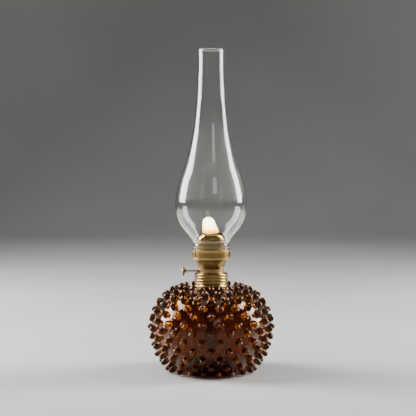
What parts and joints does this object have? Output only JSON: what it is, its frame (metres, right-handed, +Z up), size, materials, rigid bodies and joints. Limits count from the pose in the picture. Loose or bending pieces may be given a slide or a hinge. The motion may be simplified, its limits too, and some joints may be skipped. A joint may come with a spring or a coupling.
{
  "type": "oil lamp",
  "caption": "Table oil lamp: studded amber glass font, ribbed screw collar, flat-wick burner with raiser knob, slotted gallery, domed flame spreader and tall bulged clear glass chimney.",
  "frame": {"origin": "centre of the font's foot ring, on the table", "axes": "+Z up along the lamp's axis, -X towards the wick raiser's knob, +Y to the back, the wick's wide faces look along Y"},
  "size_m": [0.154, 0.154, 0.3857],
  "materials": {
    "amber_glass": "pressed amber glass, fire-polished and glossy",
    "clear_glass": "clear blown glass, glossy",
    "brass": "polished brass with fine scratches and light tarnish",
    "steel": "plated steel, satin",
    "plaster": "matte collar cement",
    "seal": "oiled leather washer",
    "wick_cotton": "woven cotton tape, charred at the top edge"
  },
  "bodies": {
    "font": {"font": "amber_glass", "font_studs": "amber_glass", "collar": "brass", "collar_cement": "plaster"},
    "seal": {"seal_washer": "seal"},
    "burner": {"screw_ring": "brass", "burner_cup": "brass", "basket": "brass", "air_plate": "brass", "wick_tube": "brass", "vent_tube": "brass", "raiser_box": "brass", "shaft_bushing": "brass"},
    "wick_raiser": {"wick_shaft": "steel", "shaft_stop": "steel", "raiser_wheels": "steel", "wick_knob": "brass", "knob_rivet": "steel"},
    "wick": {"wick": "wick_cotton"},
    "gallery": {"gallery": "brass", "gallery_rivets": "brass", "dome": "brass"},
    "chimney": {"chimney": "clear_glass"}
  },
  "joints": [
    {"name": "burner_rise", "type": "slide", "parent": "font", "child": "seal", "axis": [0, 0, 1], "range_m": [0, 0.00901]},
    {"name": "burner_unscrew", "type": "hinge", "parent": "seal", "child": "burner", "pos_m": [0, 0, 0.1185], "axis": [0, 0, 1], "range_deg": [0, 1080]},
    {"name": "knob_turn", "type": "hinge", "parent": "burner", "child": "wick_raiser", "pos_m": [0, -0.00522, 0.1212], "axis": [1, 0, 0], "range_deg": [-160, 85]},
    {"name": "wick_slide", "type": "slide", "parent": "burner", "child": "wick", "axis": [0, 0, 1], "range_m": [-0.0115, 0.0061]},
    {"name": "gallery_lift", "type": "slide", "parent": "burner", "child": "gallery", "axis": [0, 0, 1], "range_m": [0, 0.03]},
    {"name": "chimney_lift", "type": "slide", "parent": "gallery", "child": "chimney", "axis": [0, 0, 1], "range_m": [0, 0.06]}
  ],
  "couplings": [
    {"joint": "burner_rise", "follows": "burner_unscrew", "m_per_rad": 0.00047746},
    {"joint": "knob_turn", "follows": "wick_slide", "rad_per_m": 242.72}
  ]
}
